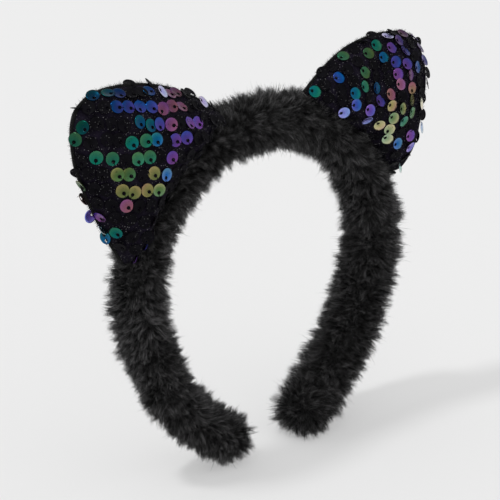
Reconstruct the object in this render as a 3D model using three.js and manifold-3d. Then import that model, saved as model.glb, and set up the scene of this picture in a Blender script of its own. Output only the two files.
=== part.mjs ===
// Cat ears headband: a springy plastic strip, padded and sleeved in long-pile black faux fur,
// with two stuffed ears that have flip sequins on their fronts.
//
// Frame: millimetres, +Z up, X across the head, and the front of the headband faces -Y. The origin
// is below the middle of the arch, on the surface that the two furry tips stand on.
// The arch is measured by an angle from straight up, so 0 is the crown and each tip is near 150
// degrees. A side is -1 for the left of the front view and +1 for the right.

import * as THREE from 'three';
import { mergeVertices } from 'three/addons/utils/BufferGeometryUtils.js';
import Module from 'manifold-3d';

const wasm = await Module();
wasm.setup();

// --- Driving dimensions ---------------------------------------------------------------------

// The arch, along the middle of the furry band.
const archHalfWidth = 61.8;
const archHalfHeight = 65.3;
const archTaper = 0.163; // how much narrower the arch is at its tips than at its crown
const archSetBack = 2.75; // the ears bulge forward, so the arch is this far behind the box's middle
const crownAngle = 11; // the crown piece reaches this far each side of straight up
const tipAngle = 152;

// Sections of the band, outside to inside. Depth is along Y and radial is across it.
const furHalfDepth = 11.5;
const furHalfRadial = 11.3;
const furThickness = 5.6; // cloth and pile together
const tipHalfDepth = 12.5;
const tipHalfRadial = 12;
const stripWidth = 9;
const stripThickness = 1.6;
const footFlat = 1.4; // how much the pile under each tip is pressed flat by the weight on it
const stripEndsBefore = 7; // degrees of arch between the strip's end and the tip
const tieAngle = 3.5; // degrees of arch between the thread tie and the tip
const tieRadius = 3.6;
const threadRadius = 0.6;

// Room for the legs to spring open and closed at the crown, in degrees.
const openRelief = 9.5;
const closeRelief = 4.5;

// The ears, in front view. An ear's base lies along the outside of the band.
const earStart = 17; // angles on the arch where the base of an ear begins and ends
const earEnd = 65;
const earTipX = 89; // where the free edges would meet if the tip weren't rounded
const earTipAbove = 91; // height of that point above the middle of the arch
const earTipRounding = 16; // how far short of that point the rounding starts
const earUpperBow = 7; // how far each free edge is drawn outward at its middle
const earLowerBow = 7;
const earBaseInset = 6; // degrees by which the hidden edge inside the band is shorter

// The ears, in thickness. An ear is thickest at its belly, just clear of the band.
const earSetForward = 3.5; // its middle is this far in front of the arch
const earHalfDepth = 13.5;
const earBellyOut = 14; // distance of the belly from the middle line of the band
const earDomeAlong = 41;
const earDomeOut = 48;
const clothThickness = 1.2;
const sequinThickness = 1;
const seamThickness = 1.4;
const earTilt = 12; // degrees that an ear can be pushed forward or back
const tiltPositions = 3; // how many positions of the tilt the ear's base is cut to clear
const baseSlack = 1.2; // extra thickness of the base, where the tilting band takes some away
const earRoundOver = 2.5; // rounding of the front view's edge, seen from the front
const earRoundOverDepth = 3.5; // the same rounding, seen from the side

// Shared fits.
const gap = 0.3; // between pieces that touch
const tiltGap = 0.5; // between the band and an ear that tilts on it

// Facets of the curved surfaces.
const tubeSides = 12;
const stepLength = 8; // length of one facet along the band
const ballRows = 8;
const threadSides = 6;
const domeSides = 20;
const domeRows = 12;
const edgeSteps = 5; // facets along each curve of an ear's outline
const roundOverSteps = 3;

// Cutting shapes, which are larger than anything that they cut.
const cutReach = 3 * furHalfDepth;
const cutWidth = 4 * archHalfWidth;
const groundDepth = 100;
const tangentStep = 0.05; // degrees either side, for the direction of the arch at an angle

// --- Colours --------------------------------------------------------------------------------

function finish(color, roughness, metalness = 0) {
  return new THREE.MeshStandardMaterial({ color, roughness, metalness });
}

const colours = {
  fur: [0x0b0b0d, 0.95],
  strip: [0x1a1a1c, 0.45],
  wadding: [0xe8e6e0, 0.95],
  thread: [0x101012, 0.8],
  net: [0x15121c, 0.85],
  backCloth: [0x0d0d10, 0.9],
  sequin: [0x4a5aa8, 0.2, 0.8],
};

// --- Solids ---------------------------------------------------------------------------------

// The vertices are merged before the geometry is placed, while those on a seam are still equal.
function toSolid(geometry, placement = new THREE.Matrix4()) {
  const bare = geometry.clone();
  bare.deleteAttribute('normal');
  bare.deleteAttribute('uv');
  const merged = mergeVertices(bare).applyMatrix4(placement);
  return new wasm.Manifold(new wasm.Mesh({
    numProp: 3,
    vertProperties: merged.attributes.position.array,
    triVerts: new Uint32Array(merged.index.array),
  }));
}

// A cut can leave a sliver beside the piece itself, which the real cloth wouldn't have.
function largestBody(solid) {
  const bodies = solid.decompose();
  return bodies.reduce((best, body) => (body.volume() > best.volume() ? body : best));
}

function toMesh(name, solid, colour) {
  const { vertProperties, triVerts } = largestBody(solid).getMesh();
  const geometry = new THREE.BufferGeometry();
  geometry.setAttribute('position', new THREE.BufferAttribute(vertProperties, 3));
  geometry.setIndex(new THREE.BufferAttribute(triVerts, 1));
  geometry.computeVertexNormals();
  const mesh = new THREE.Mesh(geometry, finish(...colours[colour]));
  mesh.name = name;
  return mesh;
}

function box(width, depth, height, centre) {
  const geometry = new THREE.BoxGeometry(width, depth, height);
  geometry.translate(centre.x, centre.y, centre.z);
  return toSolid(geometry);
}

// --- The arch -------------------------------------------------------------------------------

const radians = THREE.MathUtils.degToRad;
const archCentreHeight = -archHalfHeight * Math.cos(radians(tipAngle)) + tipHalfRadial - footFlat;

function archPoint(angle) {
  const t = radians(angle);
  const x = archHalfWidth * Math.sin(t) * (1 + archTaper * Math.cos(t));
  return new THREE.Vector3(x, 0, archCentreHeight + archHalfHeight * Math.cos(t));
}

class BandArc extends THREE.Curve {
  constructor(fromAngle, toAngle) {
    super();
    this.fromAngle = fromAngle;
    this.toAngle = toAngle;
  }

  getPoint(u, target = new THREE.Vector3()) {
    return target.copy(archPoint(THREE.MathUtils.lerp(this.fromAngle, this.toAngle, u)));
  }
}

// A frame on the arch: along points away from the crown, out points away from the head.
function archFrame(angle) {
  const side = Math.sign(angle);
  const nudge = tangentStep * side;
  const along = archPoint(angle + nudge).sub(archPoint(angle - nudge)).normalize();
  const out = new THREE.Vector3(-along.z * side, 0, along.x * side);
  const across = new THREE.Vector3().crossVectors(along, out);
  const matrix = new THREE.Matrix4().makeBasis(along, out, across);
  matrix.setPosition(archPoint(angle));
  return { along, out, matrix };
}

function ellipseSection(halfDepth, halfRadial) {
  const outline = new THREE.EllipseCurve(0, 0, halfDepth, halfRadial).getPoints(tubeSides);
  return new THREE.Shape(outline.slice(0, -1));
}

function sweep(section, fromAngle, toAngle, placement) {
  const extrudePath = new BandArc(fromAngle, toAngle);
  const steps = Math.ceil(extrudePath.getLength() / stepLength);
  const geometry = new THREE.ExtrudeGeometry(section, { extrudePath, steps, bevelEnabled: false });
  return toSolid(geometry, placement);
}

function furTube(fromAngle, toAngle, clearance = 0, placement = undefined) {
  const section = ellipseSection(furHalfDepth + clearance, furHalfRadial + clearance);
  return sweep(section, fromAngle, toAngle, placement);
}

function coreTube(fromAngle, toAngle, clearance = 0) {
  const reduction = furThickness + clearance;
  const section = ellipseSection(furHalfDepth - reduction, furHalfRadial - reduction);
  return sweep(section, fromAngle, toAngle);
}

function stripBar(fromAngle, toAngle, clearance = 0) {
  const halfWidth = stripWidth / 2 + clearance;
  const halfThickness = stripThickness / 2 + clearance;
  const section = new THREE.Shape([
    new THREE.Vector2(-halfWidth, -halfThickness),
    new THREE.Vector2(halfWidth, -halfThickness),
    new THREE.Vector2(halfWidth, halfThickness),
    new THREE.Vector2(-halfWidth, halfThickness),
  ]);
  return sweep(section, fromAngle, toAngle);
}

// Everything on the crown side of a leg's first face. The face is a shallow V with its ridge on the
// band's middle line, so that the leg turns about that line without meeting the crown.
function crownCutter(side) {
  const slope = (degrees) => cutReach * Math.tan(radians(degrees));
  const profile = new THREE.Shape([
    new THREE.Vector2(gap, 0),
    new THREE.Vector2(gap + slope(openRelief), cutReach),
    new THREE.Vector2(-cutReach, cutReach),
    new THREE.Vector2(-cutReach, -cutReach),
    new THREE.Vector2(gap + slope(closeRelief), -cutReach),
  ]);
  const depth = 2 * cutReach;
  const geometry = new THREE.ExtrudeGeometry(profile, { depth, bevelEnabled: false });
  geometry.translate(0, 0, -cutReach);
  return toSolid(geometry, archFrame(side * crownAngle).matrix);
}

// --- Crown ----------------------------------------------------------------------------------

function crownPieces() {
  const sleeve = furTube(-crownAngle, crownAngle).subtract(coreTube(-2 * crownAngle, 2 * crownAngle));
  const wadding = coreTube(-crownAngle, crownAngle, gap)
    .subtract(stripBar(-2 * crownAngle, 2 * crownAngle, gap));
  const crown = new THREE.Group();
  crown.add(toMesh('fur_sleeve_crown', sleeve, 'fur'));
  crown.add(toMesh('wadding_crown', wadding, 'wadding'));
  crown.add(toMesh('strip_crown', stripBar(-crownAngle, crownAngle), 'strip'));
  return crown;
}

// --- Legs -----------------------------------------------------------------------------------

function tipBall(side) {
  const geometry = new THREE.SphereGeometry(1, tubeSides, ballRows);
  geometry.scale(tipHalfRadial, tipHalfDepth, tipHalfRadial);
  return toSolid(geometry, new THREE.Matrix4().setPosition(archPoint(side * tipAngle)));
}

// The thread ring that gathers the end of the sleeve, round the band's middle line.
function sleeveTie(side) {
  const profile = new THREE.EllipseCurve(tieRadius, 0, threadRadius, threadRadius);
  const geometry = new THREE.LatheGeometry(profile.getPoints(threadSides), tubeSides);
  geometry.rotateZ(-Math.PI / 2);
  return toSolid(geometry, archFrame(side * (tipAngle - tieAngle)).matrix);
}

function legPieces(side) {
  const word = side < 0 ? 'left' : 'right';
  const inside = side * crownAngle / 2; // each piece starts inside the crown and is cut back
  const tip = side * tipAngle;
  const stripEnd = side * (tipAngle - stripEndsBefore);
  const cutter = crownCutter(side);
  const underground = new THREE.Vector3(0, 0, -groundDepth / 2);
  const ground = box(cutWidth, cutWidth, groundDepth, underground);

  const sleeve = furTube(inside, tip)
    .add(tipBall(side))
    .subtract(coreTube(inside / 2, tip))
    .subtract(cutter)
    .subtract(ground);
  const wadding = coreTube(inside, stripEnd, gap)
    .subtract(stripBar(inside / 2, side * tipAngle, gap))
    .subtract(cutter);

  const leg = new THREE.Group();
  leg.add(toMesh(`fur_sleeve_${word}`, sleeve, 'fur'));
  leg.add(toMesh(`wadding_${word}`, wadding, 'wadding'));
  leg.add(toMesh(`strip_${word}`, stripBar(inside, stripEnd).subtract(cutter), 'strip'));
  leg.add(toMesh(`sleeve_tie_${word}`, sleeveTie(side), 'thread'));
  return leg;
}

// --- Ears -----------------------------------------------------------------------------------

const earMiddle = (earStart + earEnd) / 2;

// A point on the arch in front view, moved outward from the band's middle line.
function frontPoint(angle, outward) {
  const point = archPoint(angle).addScaledVector(archFrame(angle).out, outward);
  return new THREE.Vector2(point.x, point.z);
}

// Front view of an ear: two bowed edges, a rounded tip, and a base that lies inside the band. Each
// curve runs into the next along the straight line between their control points.
function earOutline(side) {
  const start = frontPoint(earStart, furHalfRadial);
  const end = frontPoint(earEnd, furHalfRadial);
  const tip = new THREE.Vector2(earTipX, archCentreHeight + earTipAbove);
  const bowed = (from, to, bow) => {
    const outward = new THREE.Vector2(from.y - to.y, to.x - from.x).setLength(bow);
    return from.clone().lerp(to, 0.5).add(outward);
  };
  const nearTip = (bow) => tip.clone().lerp(bow, earTipRounding / tip.distanceTo(bow));

  const upperBow = bowed(start, tip, earUpperBow);
  const lowerBow = bowed(tip, end, earLowerBow);
  const intoTip = nearTip(upperBow);
  const outOfTip = nearTip(lowerBow);
  const innerStart = frontPoint(earStart + earBaseInset, 0);
  const innerMiddle = frontPoint(earMiddle, furHalfRadial / 2);
  const innerEnd = frontPoint(earEnd - earBaseInset, 0);
  const outline = new THREE.Shape();
  outline.moveTo(start.x, start.y);
  outline.quadraticCurveTo(upperBow.x, upperBow.y, intoTip.x, intoTip.y);
  outline.quadraticCurveTo(tip.x, tip.y, outOfTip.x, outOfTip.y);
  outline.quadraticCurveTo(lowerBow.x, lowerBow.y, end.x, end.y);
  outline.lineTo(innerEnd.x, innerEnd.y);
  outline.quadraticCurveTo(innerMiddle.x, innerMiddle.y, innerStart.x, innerStart.y);
  const points = outline.getPoints(edgeSteps).map((point) => new THREE.Vector2(side * point.x, point.y));
  return new THREE.Shape(points);
}

// The whole ear as one solid, every face moved inward by inset (outward where inset is negative).
// It is the front view cut out of a dome that is thickest at the belly.
function earForm(side, inset) {
  const depth = 2 * (earHalfDepth - earRoundOver);
  const slab = new THREE.ExtrudeGeometry(earOutline(side), {
    depth,
    bevelThickness: earRoundOverDepth,
    bevelSize: earRoundOver,
    bevelOffset: -earRoundOver - inset,
    bevelSegments: roundOverSteps,
  });
  slab.translate(0, 0, -depth / 2);
  slab.rotateX(Math.PI / 2);

  const dome = new THREE.SphereGeometry(1, domeSides, domeRows);
  dome.scale(earDomeAlong - inset, earDomeOut - inset, earHalfDepth - inset);
  dome.translate(0, earBellyOut, 0);
  const form = toSolid(slab).intersect(toSolid(dome, archFrame(side * earMiddle).matrix));
  return form.translate(0, -earSetForward, 0);
}

// The length of the furry band that an ear sits on, with some to spare at each end.
function bandUnderEar(side, clearance, placement) {
  return furTube(side * crownAngle / 2, side * (earEnd + crownAngle), clearance, placement);
}

// The space that the band takes, seen from an ear that tilts forward and back on it.
function tiltedBand(side, clearance) {
  const { along, matrix } = archFrame(side * earMiddle);
  const pivot = new THREE.Vector3().setFromMatrixPosition(matrix);
  const turns = Array.from({ length: tiltPositions }, (_, index) => (
    THREE.MathUtils.lerp(-earTilt, earTilt, index / (tiltPositions - 1))
  ));
  const tilted = turns.map((turn) => {
    const placement = new THREE.Matrix4().makeTranslation(pivot)
      .multiply(new THREE.Matrix4().makeRotationAxis(along, radians(turn)))
      .multiply(new THREE.Matrix4().makeTranslation(pivot.clone().negate()));
    return bandUnderEar(side, clearance, placement);
  });
  return tilted.reduce((joined, band) => joined.add(band));
}

function earPieces(side) {
  const word = side < 0 ? 'left' : 'right';
  const slabAt = (from, to) => {
    const centre = new THREE.Vector3(0, (from + to) / 2 - earSetForward, archCentreHeight);
    return box(cutWidth, to - from, cutWidth, centre);
  };
  const front = slabAt(-cutReach, -seamThickness / 2 - gap);
  const back = slabAt(seamThickness / 2 + gap, cutReach);
  const middle = slabAt(-seamThickness / 2, seamThickness / 2);

  const cover = earForm(side, 0);
  const lining = earForm(side, clothThickness);
  const filling = earForm(side, clothThickness + gap);
  const skin = cover.subtract(lining);
  const proud = earForm(side, -gap - sequinThickness).subtract(earForm(side, -gap));

  const band = tiltedBand(side, tiltGap);
  const overGusset = bandUnderEar(side, tiltGap + clothThickness + baseSlack);
  const overStitches = bandUnderEar(side, tiltGap + clothThickness + baseSlack + gap);

  const ear = new THREE.Group();
  const piece = (name, solid, colour) => ear.add(toMesh(`${word}_ear_${name}`, solid, colour));
  piece('front_panel', skin.intersect(front).subtract(band), 'net');
  piece('back_panel', skin.intersect(back).subtract(band), 'backCloth');
  piece('edge_seam', skin.intersect(middle).subtract(band), 'thread');
  piece('base_gusset', filling.intersect(overGusset).subtract(band), 'backCloth');
  piece('stuffing', filling.subtract(overStitches), 'wadding');
  piece('sequins', proud.intersect(front).subtract(overStitches), 'sequin');
  piece('base_stitches', proud.intersect(overGusset).subtract(band), 'thread');
  return ear;
}

// --- The whole headband ---------------------------------------------------------------------

const group = new THREE.Group();
group.position.y = archSetBack;
group.add(crownPieces());
for (const side of [-1, 1]) {
  group.add(legPieces(side));
  group.add(earPieces(side));
}

export default group;
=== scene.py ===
"""Looks for the cat ears headband: a long-pile black fur band with two stuffed flip-sequin ears.

Lengths below are in millimetres and are turned into metres where a mesh is made. The arch is
measured by an angle from straight up, negative on the left of the front view.
"""

import math
from types import SimpleNamespace

import bpy
import numpy as np
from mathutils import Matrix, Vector
from mathutils.bvhtree import BVHTree


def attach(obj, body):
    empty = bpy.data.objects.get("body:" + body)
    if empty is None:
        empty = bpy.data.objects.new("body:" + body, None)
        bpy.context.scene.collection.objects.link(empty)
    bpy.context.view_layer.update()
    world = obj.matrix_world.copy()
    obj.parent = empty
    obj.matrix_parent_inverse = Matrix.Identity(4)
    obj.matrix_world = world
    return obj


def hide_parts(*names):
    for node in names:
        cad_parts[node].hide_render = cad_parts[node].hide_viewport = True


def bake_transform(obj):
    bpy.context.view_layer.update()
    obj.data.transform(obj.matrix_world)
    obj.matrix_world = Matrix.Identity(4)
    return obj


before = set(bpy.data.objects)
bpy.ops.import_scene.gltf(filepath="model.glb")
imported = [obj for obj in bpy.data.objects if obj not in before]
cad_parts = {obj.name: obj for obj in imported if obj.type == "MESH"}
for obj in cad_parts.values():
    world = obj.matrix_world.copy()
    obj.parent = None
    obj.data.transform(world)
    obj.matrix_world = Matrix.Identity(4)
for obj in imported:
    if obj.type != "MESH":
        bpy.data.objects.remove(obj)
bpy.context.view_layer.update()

MM = 0.001
SEED = 7
SIDES = {"left": -1, "right": 1}

# --- Camera and stage ---

CAMERA_AZIMUTH = -43.18
CAMERA_ELEVATION = 18.34
CAMERA_ROLL = -1.54
CAMERA_DISTANCE = 629.2
CAMERA_LENS = 114.4
FRAMING_RIGHT = -4.82
FRAMING_UP = 13.1
CAMERA_FARTHEST = 50
FLOOR_SIZE = 12.0
FLOOR_TONE = 0.45
FLOOR_GLOW = 0.365
WORLD_STRENGTH = 0.74
WORLD_SEEN = 0.86
# Energy, azimuth, elevation and spread. The last three are in degrees.
SUNS = {"key": (1.0, -108, 66, 8), "fill": (0.3, -20, 38, 70)}

# --- The arch, as in the CAD ---

ARCH_HALF_WIDTH = 61.8
ARCH_HALF_HEIGHT = 65.3
ARCH_TAPER = 0.163
ARCH_SET_BACK = 2.75
ARCH_CENTRE_HEIGHT = 68.2565
TIP_ANGLE = 152
ANGLE_NUDGE = 0.05
JUST_OFF_CROWN = 0.02

# --- Fur ---

BACKING_RADIUS = {"left": 6.1, "crown": 6.5, "right": 7.3}
PILE_LENGTH = {"left": 6.4, "crown": 6.8, "right": 7.3}
RING_POINTS = 28
RING_STEP = 2.0
SECTION_DEPTH = 1.03
CAP_TURNS = (15, 30, 45, 58, 70, 80)
LUMP_HEIGHT = 0.55
# Swells that wind round the band: wavelength along it, turns round it, and weight.
LUMPS = ((38, 1, 0.5), (23, -1, 0.35), (15, 2, 0.3), (11, 0, 0.3), (9, -2, 0.25))
BLEND_LENGTH = 110
BLEND_POWER = 1.2
FUR_PIECES = 8
LOCKS_PER_PIECE = 3050
HAIRS_PER_LOCK = 4
HAIR_RADIUS = 0.068
# Places along a hair and its width at each, as shares. Its tip comes after them.
HAIR_SHAPE = ((0.0, 1.0), (0.4, 0.85), (0.75, 0.5))
HAIR_SPREAD = 0.34
HAIR_CLOSING = 0.5
HAIR_ROOT_DEPTH = 0.3
# Neighbouring locks lean to the tip of one clump. Lengths are random shares of PILE_LENGTH.
CLUMP_SPACING = 1.7
CLUMP_LENGTHS = (0.62, 1.22)
CLUMP_PULL = 0.74
CLUMP_PULL_SHARES = (0.5, 1.0)
CLUMP_BEND_POWER = 1.9
LOCK_LENGTHS = (0.72, 1.02)
LOCK_WAY_SPREAD = 0.22
LOCK_LAY = 0.9
LOCK_CURL = 0.35
HAIR_LENGTHS = (0.8, 1.15)
HAIR_RADII = (0.7, 1.25)
HAIR_WAY_SPREAD = 0.07
HAIR_CURL = 0.12
STRAY_SHARE = 0.06
STRAY_LENGTH = 1.25
STRAY_WAY_SPREAD = 0.3
STRAY_PULL = 0.2
PILE_LAY = (0, 0, -0.18)
SWIRL_SIZES = (31, 17)
SWIRL_STRETCH = 1.7
SWIRL_LEAN = 0.16
# Tones from 0, darkest, to 1: a lock's mean and spread, the spreads that its clump and each of
# its hairs add, and how much darker the pile is painted at the crown and at the tips as painted shade, and
# over what length.
LOCK_TONE = (0.46, 0.24)
CLUMP_TONE_SPREAD = 0.12
HAIR_TONE_SPREAD = 0.17
TONE_LIMITS = (0.02, 0.98)
CROWN_PAINTED_SHADE = 0.17
CROWN_SHADE_LENGTH = 45
TIP_PAINTED_SHADE = 0.08
TIP_SHADE_START = 100
TIP_SHADE_LENGTH = 30
# The pile of each half reaches across the seam at the crown, so that no parting shows.
CROSSING = 3.0
CROSSING_LENGTH = 4.0
# Pile under an ear's base is laid aside: the stretch of arch that this is looked at on, how deep
# inside the ear a hair may start, and the way of the ray that tells inside from outside.
EAR_MIDDLE_ANGLE = 41
EAR_REACH_ANGLE = 32
PILE_REACH = 8.0
PILE_CLEARANCE = 0.1
PROBE_WAY = Vector((0.31, 0.88, 0.36)).normalized()
FLOOR_CLEARANCE = 0.12
FLOOR_SCATTER = 0.2
SHIFT_ANGLES = (0, 50, 80, 105, 128, 152)
BAND_SHIFT = {"left": (0, 0, 0.1, 0.1, -0.2, -0.7), "right": (0, 0, 0.9, 0, -0.7, -2.4)}
TIP_REACH = {"left": 0.2, "right": 5.6}
TIP_REACH_SPAN = 12
TIP_FORWARD = {"left": 2.4, "right": 2.6}
TIP_FORWARD_SPAN = 25

# --- Ears ---

EAR_SHAPES = {
    "left": {
        "start": 16.5, "end": 69, "foot_out": 11.0, "base_out": 6.8, "seat_radius": 9.8,
        "tip_x": 92, "tip_above": 89, "upper_bow": 12.5, "lower_bow": 8.5,
        "belly_angle": 44, "belly_out": 18, "front_depth": 13.0, "back_depth": 12.5, "forward": 0.0,
    },
    "right": {
        "start": 15.5, "end": 63, "foot_out": 11.0, "base_out": 4.8, "seat_radius": 10.2,
        "tip_x": 86.5, "tip_above": 89.5, "upper_bow": 13.5, "lower_bow": -0.3,
        "belly_angle": 50, "belly_out": 26, "front_depth": 12.5, "back_depth": 11.5, "forward": 0.12,
    },
}
EAR_TIP_ROUNDING = 16
SEAM_PLANE = -0.75
EDGE_POINTS = 110
BASE_POINTS = 44
BASE_COLUMNS = 15
BASE_SINK = 0.4
EAR_RINGS = 30
PUFF_FULLNESS = 2.2
PUFF_ROUNDNESS = 0.55
LEAN_START = 45
# Soft dents over the stuffing: size and depth.
PUCKERS = ((24, 0.5), (13, 0.3), (8, 0.15))
CLOTH_THICKNESS = 0.8
SEAM_RADIUS = 0.75
FILLING_GAP = 1.2
FILLING_VOXEL = 2.2

SEQUIN_RADIUS = 2.45
SEQUIN_HOLE = 0.64
SEQUIN_HOLE_OUT = 1.15
SEQUIN_CUP = 0.32
SEQUIN_THICKNESS = 0.12
SEQUIN_SIDES = 22
SEQUIN_RINGS = (0, 0.12, 0.45, 0.8, 1.0)
SEQUIN_STEP = 4.9
SEQUIN_LINE_GAP = 5.8
SEQUIN_LINES = 14
SEQUIN_STRAY_ALONG = 0.6
SEQUIN_STRAY_ASIDE = 0.7
SEQUIN_PAST_EDGE = 0.5
SEQUIN_SHORT_OF_BASE = 0.4
CELL_SHARE = 0.42
THREAD_RADIUS = 0.09
STITCH_START = 0.05
STITCH_PAST_EDGE = 0.15
STITCH_HEIGHTS = (-0.35, 0.3, 0.55, 0.35, -0.45)
SEQUIN_LINES_TURN = {"left": -8, "right": 90}
HOLE_WAY = {"left": (0.4, 0, -0.9), "right": (-0.9, 0, 0.15)}
# Colours of the film once round its phases, as display values from 0 to 255.
IRIDESCENCE = (
    (7, 114, 98), (12, 92, 125), (6, 80, 156), (75, 70, 160), (110, 66, 146),
    (135, 80, 122), (146, 92, 98), (150, 140, 88), (80, 106, 58), (60, 118, 84),
)
# Painted glare: how far toward white the film is washed at each value of its brightness, and the most that
# its colour is raised.
GLARE_VALUES = (1.3, 2.3, 3.2, 4.5)
GLARE_WHITENESS = (0, 0.25, 0.25, 0.7)
HIGHEST_VALUE = 2.4
FUZZ_ON_FACE = 2600
FUZZ_ON_EDGE = 2200
FUZZ_RADIUS = 0.055
FUZZ_LENGTHS_ON_FACE = (0.5, 1.5)
FUZZ_LENGTHS_ON_EDGE = (0.6, 2.2)
FUZZ_SPREAD_ON_FACE = 0.8
FUZZ_SPREAD_ON_EDGE = 0.6
FUZZ_BOW = 0.25
FUZZ_TONE = (0.18, 0.18)
AREA_SOFTNESS = 0.3
# Areas of one colour on an ear: the line and the place on it of a sequin in the middle, and how
# far round IRIDESCENCE the light brings its film. Sequins in between get a colour in between.
FILM_AREAS = {
    "left": (
        (5, -6, 0.08), (5, -1, 0.22), (4, -3, 0.33), (4, 1, 0.56), (3, -3, 0.12), (3, 0, 0.5),
        (2, 2, 0.34), (2, -2, -0.02), (1, -6, 0.0), (1, 0, 0.45), (0, 0, 0.15), (0, -1, -0.26),
        (0, -3, -0.13), (-1, -4, -0.2), (-1, -2, -0.26), (-2, -4, -0.55), (-4, -3, -0.98),
        (-6, -2, -0.66),
    ),
    "right": (
        (9, 3, 0.05), (7, 4, 0.2), (6, 6, -0.05), (6, 3, 0.1), (6, 2, 0.27), (5, 4, -0.07),
        (5, 3, -0.06), (5, 0, 0.3), (4, 0, 0.77), (3, 1, 0.71),
        (4, 6, -0.12), (3, 6, 0.0), (3, 5, 0.14), (2, 6, 0.46), (0, 7, 0.5), (-1, 5, 0.42),
        (4, 2, 0.36), (2, 4, 0.42), (1, 5, 0.33), (0, 4, 0.22),
        (2, 3, 0.57), (3, 2, 0.62), (1, 1, 0.72), (3, -1, 0.79), (2, 0, 1.02), (1, -2, 1.4),
    ),
}
# Sequins that stand on edge, by line and place, and the way that they then face. Their film is painted
# pale, as glints.
STANDING = {
    "left": {
        (-2, -6): (0.4, -0.7, 0.55), (-4, -4): (0.4, -0.7, 0.55),
        (5, 0): (0.4, -0.7, 0.55), (4, 5): (0.4, -0.7, 0.55),
    },
    "right": {
        (0, 1): (0.5, -0.85, 0.1), (0, -1): (0.5, -0.85, 0.1), (1, -5): (0.5, -0.85, 0.1),
        (2, 7): (0.0, -0.3, 0.95),
    },
}
# Painted shade: how much darker the film is on sequins turned black side out, where it faces the cloth.
BLACK_OUT_SHADE = 0.4
# How a sequin lies: turns on its stitch, looseness in the middle of the ear and added toward its
# rim, sag toward the stitch, and lift off the cloth in the middle and added toward the rim.
SEQUIN_TURN_SPREAD = 0.35
SEQUIN_LOOSE = 0.10
SEQUIN_LOOSE_AT_RIM = 0.35
SEQUIN_SAG = 0.10
SEQUIN_LIFTS = (0.35, 0.65)
SEQUIN_LIFT_AT_RIM = 0.9
RIM_STEEPNESS = 1.6
FILM_PHASE_SPREAD = 0.02
FILM_PHASE_UP = 0.05
FILM_PHASE_OUT = -0.03
# Painted reflection on the film: random shares of each sequin's brightness, and its level, its slope by
# facing and its limits.
FILM_REFLECTION_SHARES = (0.8, 1.25)
FILM_REFLECTION_LEVEL = 1.15
FILM_REFLECTION_SLOPE = 1.2
FILM_REFLECTION_LIMITS = (0.35, 2.2)
# Painted reflection in each cupped sequin: film brightness in its middle, and how much more toward its rim.
FILM_REFLECTION_MIDDLE = 0.85
FILM_REFLECTION_RIM = 0.3
STANDING_LIFT = 0.7
# Film value of the standing sequins, high enough to paint them pale as glints.
STANDING_GLINT_VALUE = 3.7
# Sequins that hang over the sewn edge: how far along the edge, and whether bright side out.
HANGING = {"left": ((0.81, True),), "right": ((0.57, False), (0.62, False))}
HANGING_OUT = 1.9
HANGING_PHASE = 0.34
# Film value of a hanging sequin: its painted reflection brightness.
HANGING_REFLECTION = 1.5
# Which sequins are brushed bright side out: on each line, (first place, how many in a row).
BRUSHED = {
    "left": {
        5: ((-6, 3), (-1, 1), (1, 2)),
        4: ((-4, 7),),
        3: ((-7, 1), (-3, 4), (2, 2)),
        2: ((-7, 1), (-3, 3), (1, 2)),
        1: ((-6, 2), (-3, 2), (0, 1)),
        0: ((-4, 2), (-1, 2)),
        -1: ((-7, 1), (-4, 4)),
        -2: ((-3, 1),),
        -3: ((-5, 1),),
        -4: ((-3, 1),),
        -5: ((-4, 1),),
        -6: ((-2, 1),),
    },
    "right": {
        9: ((3, 1),),
        7: ((1, 1), (4, 1)),
        6: ((2, 2), (6, 1)),
        5: ((0, 2), (3, 2)),
        4: ((0, 1), (2, 2), (6, 1)),
        3: ((-2, 5), (5, 2)),
        2: ((-2, 1), (0, 2), (3, 4)),
        1: ((-3, 2), (0, 7)),
        0: ((4, 1), (7, 1)),
        -1: ((4, 3),),
        -2: ((-2, 2),),
    },
}


def rng(name):
    """A seeded generator of its own for each piece, so that one piece's draws don't move another's."""
    return np.random.default_rng([SEED, *name.encode()])


def unit(v):
    """Vectors of the same directions and length one."""
    return v / np.maximum(np.linalg.norm(v, axis=-1, keepdims=True), 1e-12)


# --- Meshes ---


def add_mesh(name, verts, groups, materials):
    """A smooth piece from points in millimetres and groups of faces, each an array of one kind."""
    mesh = bpy.data.meshes.new(name)
    totals = np.concatenate([np.full(len(g), g.shape[1]) for g in groups])
    corners = np.concatenate([g.ravel() for g in groups])
    mesh.vertices.add(len(verts))
    mesh.vertices.foreach_set("co", (np.asarray(verts, float) * MM).ravel())
    mesh.loops.add(len(corners))
    mesh.loops.foreach_set("vertex_index", corners)
    mesh.polygons.add(len(totals))
    mesh.polygons.foreach_set("loop_start", np.concatenate([[0], np.cumsum(totals)[:-1]]))
    mesh.polygons.foreach_set("use_smooth", np.ones(len(totals), bool))
    mesh.update(calc_edges=True)
    for material in materials:
        mesh.materials.append(material)
    piece = bpy.data.objects.new(name, mesh)
    bpy.context.scene.collection.objects.link(piece)
    return piece


def set_uv(piece, uv_of_vertex):
    """Gives each vertex one place in the piece's bake picture."""
    layer = piece.data.uv_layers.new(name="OFBake")
    corners = np.zeros(len(piece.data.loops), int)
    piece.data.loops.foreach_get("vertex_index", corners)
    layer.data.foreach_set("uv", np.asarray(uv_of_vertex, float)[corners].ravel())


def grid_quads(rows, columns, closed=True):
    """Quads between neighbours in rows of points. The rows are rings when closed is true."""
    i, j = np.meshgrid(np.arange(rows - 1), np.arange(columns if closed else columns - 1), indexing="ij")
    k = (j + 1) % columns
    n = i + 1
    quads = np.stack([i * columns + j, n * columns + j, n * columns + k, i * columns + k], -1)
    return quads.reshape(-1, 4)


def fan(first, count, apex):
    """Triangles from a ring of count points to one point."""
    j = np.arange(count)
    return np.stack([first + j, first + (j + 1) % count, np.full(count, apex)], -1)


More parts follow.
